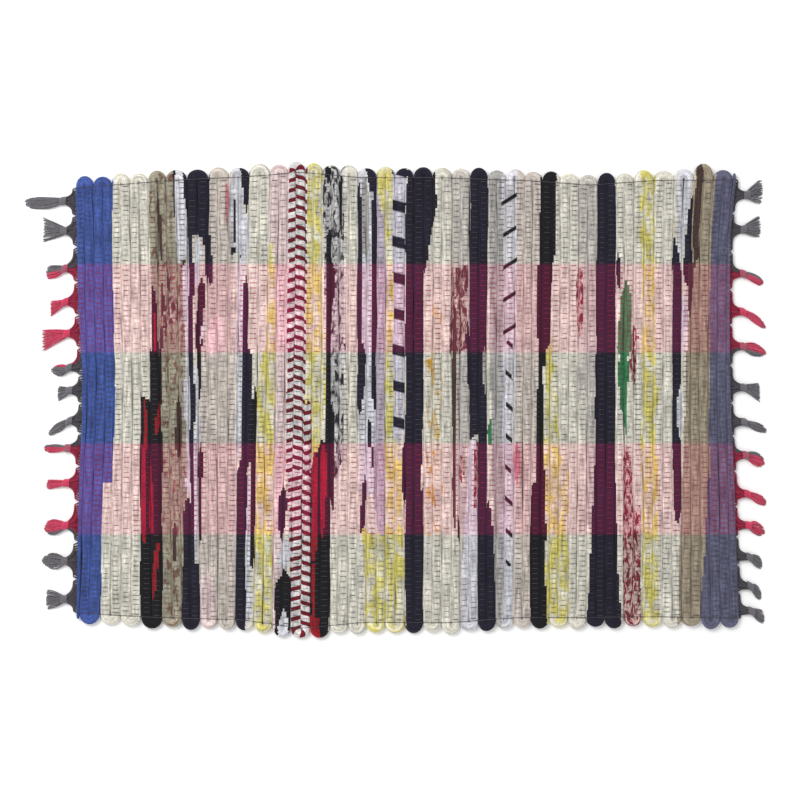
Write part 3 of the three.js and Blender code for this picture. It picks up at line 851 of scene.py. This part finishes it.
def rag_piece(first, last, sizes, fabrics):
    """A run of rag as one tube. A ring is a superellipse, half width x cos a by half height x
    sin a, both to the same power, flatter where a warp passes over or under. Its folds are dents,
    round as a bell, that wander round the rag as they run along it."""
    rings, row_of = rag_rings(first, last)
    full, pinch, puff = sizes.rag_height / MM / 2, sizes.pinch / MM, sizes.puff / MM
    middle = sizes.rag_middle / MM
    run = run_lengths(np.column_stack([rings["x"], rings["y"], np.full(len(rings), middle)]))
    rng = np.random.default_rng(SEED + first)
    turn = angles_round(RAG_SIDES)
    girth = np.ones((len(rings), RAG_SIDES))
    for _ in range(FOLDS):
        begin, sway, swell, _ = rng.uniform(0, 2 * np.pi, 4)
        wander = rng.uniform(35, 80)
        way = begin + run / rng.uniform(90, 200) + 0.9 * np.sin(run / wander + sway)
        deep = 0.55 + 0.45 * np.sin(run / rng.uniform(25, 60) + swell)
        away = np.angle(np.exp(1j * (turn - way[:, None])))
        girth -= sizes.fold_depth * deep[:, None] * np.exp(-((away / FOLD_WIDTH) ** 2) / 2)
    plump = 1 - 0.03 * (1 + np.sin(run / 31 + rng.uniform(0, 6)))
    across, upward = (np.sign(a) * np.abs(a) ** RAG_POWER for a in (np.cos(turn), np.sin(turn)))
    pressed = np.where(upward > 0, rings["over"][:, None], rings["under"][:, None])
    height = (full + mix(puff, -pinch, pressed)) * rings["height"][:, None]
    lateral = across * rings["half"][:, None] * girth
    y = rings["y"][:, None] + rings["right_y"][:, None] * lateral
    x = rings["x"][:, None] + rings["right_x"][:, None] * lateral
    z = middle + upward * height * girth * plump[:, None]

    def face_middles(corners):
        """The mean of each face's corners."""
        return sum(c[:-1] + c[1:] for c in (corners, np.roll(corners, -1, axis=1))) / 4

    rib_here = rings["rib"][:, None] + rings["rib_change"][:, None] * across
    found = fabric_at(face_middles(rib_here), face_middles(y))
    used = np.unique(found)
    return tube_mesh(
        f"rags_{first:02d}_to_{last:02d}",
        np.stack([x, y, z], axis=-1)[None],
        around=RAG_GIRTH,
        along=run[None],
        materials=[fabrics[list(FABRICS)[number]] for number in used],
        slots=np.searchsorted(used, found)[None],
        rows=row_of[None, :-1],
        starts=run[np.searchsorted(row_of, row_of[:-1])][None],
        fuzz_and_shade=fuzz_tint_and_painted_shade(rings, rng)[None],
    )


def warp_paths(warps, sizes):
    """Paths of warps through the weave: three points a rib, on top of the rag where the warp
    passes over it and beneath it where it passes under. Each crossing lies a little prouder or
    deeper than the next, by the product of two sines."""
    rib = np.repeat(np.arange(RIBS), len(POINT_PLACES))
    place, flat = np.tile(POINT_PLACES, RIBS), np.tile(POINT_HEIGHTS, RIBS)
    warp = warps[:, None]
    # X on a rib's edge hangs on Y, and Y of a warp on X, so both are found by turns
    y = warp_y(warp, mix(-340.0, 365.0, (rib + 0.5) / RIBS))
    for _ in range(2):
        x = mix(rib_edge(rib, y), rib_edge(rib + 1, y), 0.5 + place)
        y = warp_y(warp, x)
    over = np.where(passes_over(rib, warp), 1, -1)
    lift = sizes.rag_height / MM / 2 - sizes.pinch / MM
    proud = -0.04 + 0.26 * np.sin(3.7 * rib + 2.9 * warp) * np.sin(1.3 * rib + 5.1 * warp)
    z = sizes.rag_middle / MM + over * (lift * flat + proud)
    paths = np.stack([x, y, z], axis=-1)
    ends = paths[:, [0, -1]]
    ends[..., 0] = rib_edge(np.array([0, RIBS]), ends[..., 1]) + [-WARP_END, WARP_END]
    ends[..., 2] = sizes.rag_middle / MM
    return np.concatenate([ends[:, :1], paths, ends[:, 1:]], axis=1)


def warp_band(index, sizes, yarn):
    """All the warps of one colour band, each a thin tube of four sides."""
    name, high, low = BANDS[index]
    warps = np.arange(WARPS)
    warps = warps[in_band(warps, high, low)]
    paths = warp_paths(warps, sizes)
    radius = getattr(sizes, f"{name}_radius") / MM
    radii = np.full(paths.shape[:2], radius)
    # The two warps along each selvedge are thicker
    radii[(warps < 2) | (warps > WARPS - 3)] *= 1.25
    rings = round_sections(paths, radii, 4)
    around = 2 * np.pi * radius
    return tube_mesh(f"warps_{index + 1}_{name}", rings, around, run_lengths(paths), [yarn])


def tassel_place(side, tassel, out, along):
    """X and Y of a place "out" from the fringed edge and "along" it from the tassel's middle
    line, which drifts by a power of its progress and bellies by a sine of it."""
    sign, edge, _ = SIDES[side]
    root, reach, drift, _, _, belly = tassel
    progress = np.clip((out - 2.0) / (reach - 2.0), 0, 1)
    x = np.interp(root, SIDE_Y, edge) + sign * out
    return x, root + drift * progress**1.2 + belly * np.sin(np.pi * progress) + along


def join_tubes(name, parts, materials):
    """One piece from several sets of tubes, each (paths, radii, sides, up, slots): every set is
    made as its own mesh, and the meshes are joined with their flat layouts one above another."""
    made = []
    for number, (paths, radii, sides, up, slots) in enumerate(parts):
        rings = round_sections(paths, np.broadcast_to(radii, paths.shape[:2]), sides, up)
        slots = np.broadcast_to(slots[:, None, None], (len(paths), paths.shape[1] - 1, sides))
        piece = tube_mesh(
            f"{name}_{number}", rings, STRAND_GIRTH, run_lengths(paths), materials, slots
        )
        layer = piece.data.uv_layers["OFBake"]
        flat = np.empty(len(layer.uv) * 2, dtype=np.float32)
        layer.uv.foreach_get("vector", flat)
        flat[1::2] = (number + SET_MARGIN + (1 - 2 * SET_MARGIN) * flat[1::2]) / len(parts)
        layer.uv.foreach_set("vector", flat)
        made.append(piece)
    with bpy.context.temp_override(active_object=made[0], selected_editable_objects=made):
        bpy.ops.object.join()
    made[0].name = name
    made[0].data.name = name
    return made[0]


def tassel_warps(side, index):
    """The warps that one tassel gathers, those nearer to it than to its neighbours, and the Y
    at which they leave the fringed edge."""
    sign, _, tassels = SIDES[side]
    roots = [np.inf, *(tassel[0] for tassel in tassels), -np.inf]
    high, low = ((roots[index + 1] + roots[other]) / 2 for other in (index, index + 2))
    warps = np.arange(WARPS)
    y = warp_y(warps, rib_edge(0 if sign < 0 else RIBS, warp_level(warps)))
    mine = (y < high) & (y >= low)
    return warps[mine], y[mine]


def gathered_paths(side, tassel, y, spread, rng):
    """Paths of the warps that a tassel gathers. They run close along the edge, the farthest
    outermost, and turn out to the neck by a power of their progress."""
    sign, edge, _ = SIDES[side]
    t = np.linspace(0, 1, 12)
    lift = rng.uniform(0, 1, len(y))[:, None]
    nearness = np.argsort(np.argsort(-np.abs(y - tassel[0])))[:, None] / (len(y) - 1)
    strip = mix(*GATHER_OUT[side], 1 - nearness)
    leave = np.clip(t / 0.09, 0, 1)
    turn_out = t ** GATHER_TURN[side]
    _, neck_y = tassel_place(side, tassel, KNOT_OUT, spread * 2.4)
    y_fan = mix(y[:, None], neck_y[:, None], t)
    out = mix(GATHER_START, strip, leave) + (KNOT_OUT - strip) * turn_out
    x = np.interp(y_fan, SIDE_Y, edge) + sign * out
    z = mix(mix(4.4, mix(1.6, 4.2, lift), leave), 3.5 + 1.6 * np.sin(9 * lift), turn_out)
    return np.stack([x, y_fan, z], axis=-1)


def knot_paths(side, tassel):
    """Paths of the knot's wraps: helices round the neck, wider in the knot's middle."""
    t = np.linspace(0, 1, 18)
    wrap = np.arange(WRAPS)[:, None]
    share = (wrap + 0.5) / WRAPS
    barrel = 0.72 + 0.28 * np.sin(np.pi * (0.12 + 0.76 * share))
    angle = 2 * np.pi * WRAP_TURNS * t + 0.5 * wrap
    out = KNOT_OUT + WRAP_START + WRAP_STRETCH * share + WRAP_SLANT * t
    x, y = tassel_place(side, tassel, out, KNOT_HALF_WIDTH * barrel * np.cos(angle))
    return np.stack([x, y, KNOT_MIDDLE + KNOT_HALF_HEIGHT * barrel * np.sin(angle)], axis=-1)


def strand_paths(side, tassel, spread, rng):
    """Paths of the loose strands: a fan from the knot, of nearly even length or cut to a lobe,
    that wavers a little and sinks to the floor."""
    _, reach, _, flare, lobe, _ = tassel
    count = len(spread) * STRANDS
    t = np.linspace(0, 1, STRAND_RINGS)
    fanned = np.repeat(spread, STRANDS) + rng.uniform(-0.12, 0.12, count)
    share = 1 - 0.14 * rng.uniform(0, 1, count) ** 2 - 0.24 * lobe * fanned**2
    layer = rng.uniform(0, 1, count)[:, None]
    out = KNOT_OUT + (reach - KNOT_OUT) * share[:, None] * t
    lobe_width = 0.36 + 0.64 * np.sin(np.pi * t**1.1 * 0.78) ** 0.9
    opened = mix(mix(0.3, 1.0, t), lobe_width, lobe)
    width = max(flare / 2 - 0.6, 2.0)
    waver = 0.5 * np.sin(5 * t + rng.uniform(0, 6, count)[:, None]) * t
    x, y = tassel_place(side, tassel, out, fanned[:, None] * width * opened + waver)
    sink = t * t * (3 - 2 * t)
    z = mix(3.6 + 2.2 * (layer - 0.5), 0.5 + 2.4 * layer * (1 - 0.5 * t), sink)
    return np.stack([x, y, z], axis=-1)


def tassel_piece(side, index, sizes, materials):
    """One tassel: its gathered warps, its knot, whose wraps take both colours by turns where the
    warps do, and its loose strands. With it comes the name of its main colour."""
    tassel = SIDES[side][2][index]
    warps, y = tassel_warps(side, index)
    red = is_crimson(warps).astype(bool)
    rng = np.random.default_rng(SEED + 100 * (side == "right") + index)
    spread = np.linspace(1, -1, len(warps))
    mainly_red = red.mean() > 0.5
    knot_red = np.full(WRAPS, mainly_red)
    if 0.2 < red.mean() < 0.8:
        knot_red = np.arange(WRAPS) % 2 == 0

    radius = sizes.strand_radius / MM
    thick, taper = radius * THICKER, radius * np.linspace(1.15, 0.8, STRAND_RINGS)
    gathered = gathered_paths(side, tassel, y, spread, rng)
    strands = strand_paths(side, tassel, spread, rng)
    piece = join_tubes(
        f"tassel_{side}_{index + 1:02d}_yarn",
        [
            (gathered, thick, 5, (0, 0, 1), 2 + red.astype(int)),
            (knot_paths(side, tassel), thick, 5, (1, 0, 0.01), knot_red.astype(int)),
            (strands, taper, 3, (0, 0, 1), np.repeat(red, STRANDS).astype(int)),
        ],
        materials,
    )
    return piece, "crimson" if mainly_red else "charcoal"


class FLOORMAT_OT_stage(bpy.types.Operator):
    """Lays the floor and sets the soft light and the camera"""

    bl_idname = "floormat.stage"
    bl_label = "Stage"

    def execute(self, context):
        stage = context.scene.floor_mat_stage
        half = stage.floor_size / 2
        mesh = bpy.data.meshes.new("floor")
        corners = [(-half, -half, 0), (half, -half, 0), (half, half, 0), (-half, half, 0)]
        mesh.from_pydata(corners, [], [(0, 1, 2, 3)])
        paper = bpy.data.materials.new("white_paper")
        paper.use_nodes = True
        shader = paper.node_tree.nodes["Principled BSDF"]
        shader.inputs["Base Color"].default_value = linear("FBFBFB")
        shader.inputs["Roughness"].default_value = 0.95
        shader.inputs["Specular IOR Level"].default_value = 0.1
        mesh.materials.append(paper)
        put("floor", mesh)

        world = bpy.data.worlds.new("studio")
        world.use_nodes = True
        sky = world.node_tree.nodes["Background"]
        sky.inputs["Color"].default_value = (1, 1, 1, 1)
        sky.inputs["Strength"].default_value = stage.sky
        context.scene.world = world

        lamp = bpy.data.lights.new("soft_box", "AREA")
        lamp.shape = "DISK"
        lamp.size = 1.2
        lamp.energy = stage.lamp
        soft_box = put("soft_box", lamp)
        soft_box.location = (-0.9, 0.9, 1.9)
        soft_box.rotation_euler = (math.radians(-34), math.radians(-25), 0)

        camera = bpy.data.cameras.new("camera")
        camera.lens = stage.lens
        camera.sensor_width = 36
        camera.clip_start = 0.01
        context.scene.camera = put("camera", camera)
        context.scene.camera.location = (0.00484, 0, stage.camera_height)
        context.scene.view_settings.view_transform = "Standard"
        return {"FINISHED"}


class FLOORMAT_OT_warps(bpy.types.Operator):
    """Lays the warps through the weave, one piece a colour band"""

    bl_idname = "floormat.warps"
    bl_label = "Warps"

    def execute(self, context):
        sizes = context.scene.floor_mat
        materials = yarns(sizes, loose=False)
        for index, (name, _, _) in enumerate(BANDS):
            piece = warp_band(index, sizes, materials[name])
            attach(piece, "root")
        return {"FINISHED"}


class FLOORMAT_OT_tassels(bpy.types.Operator):
    """Ties the warp ends into tassels along both short sides"""

    bl_idname = "floormat.tassels"
    bl_label = "Tassels"

    def execute(self, context):
        sizes = context.scene.floor_mat
        materials = [*yarns(sizes, loose=True).values(), *yarns(sizes, loose=False).values()]
        for side, (_, _, tassels) in SIDES.items():
            for index in range(len(tassels)):
                piece, main = tassel_piece(side, index, sizes, materials)
                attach(piece, "root")
                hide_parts(f"tassel_{side}_{index + 1:02d}")
        return {"FINISHED"}


class FLOORMAT_OT_rags(bpy.types.Operator):
    """Packs the rags across the mat"""

    bl_idname = "floormat.rags"
    bl_label = "Rags"

    def execute(self, context):
        sizes = context.scene.floor_mat
        fabrics = {name: rag_fabric(f"worn_{name}", *look) for name, look in FABRICS.items()}
        for first, last in RAG_PIECES:
            piece = rag_piece(first, last, sizes, fabrics)
            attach(piece, "root")
            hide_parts("woven_body")
            width = rib_edge(last + 1, 0.0) - rib_edge(first, 0.0)
        return {"FINISHED"}


class FLOORMAT_PT_panel(bpy.types.Panel):
    """Lists what the floor mat is made of"""

    bl_label = "Floor mat"
    bl_space_type = "VIEW_3D"
    bl_region_type = "UI"
    bl_category = "Floor mat"

    def draw(self, context):
        for group in (context.scene.floor_mat, context.scene.floor_mat_stage):
            for name in type(group).__annotations__:
                self.layout.prop(group, name)
        for operator in OPERATORS:
            self.layout.operator(operator.bl_idname)


OPERATORS = (FLOORMAT_OT_stage, FLOORMAT_OT_warps, FLOORMAT_OT_tassels, FLOORMAT_OT_rags)
CLASSES = (FloorMatSizes, FloorMatStage, *OPERATORS, FLOORMAT_PT_panel)


def register():
    """Makes the mat's settings, operators and panel known to Blender."""
    for kind in CLASSES:
        bpy.utils.register_class(kind)
    bpy.types.Scene.floor_mat = bpy.props.PointerProperty(type=FloorMatSizes)
    bpy.types.Scene.floor_mat_stage = bpy.props.PointerProperty(type=FloorMatStage)


def unregister():
    """Takes them away again."""
    del bpy.types.Scene.floor_mat_stage
    del bpy.types.Scene.floor_mat
    for kind in reversed(CLASSES):
        bpy.utils.unregister_class(kind)


def main():
    """Builds the mat and its stage."""
    register()
    bpy.ops.floormat.stage()
    bpy.ops.floormat.warps()
    bpy.ops.floormat.tassels()
    bpy.ops.floormat.rags()
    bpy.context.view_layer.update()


if __name__ == "__main__":
    main()
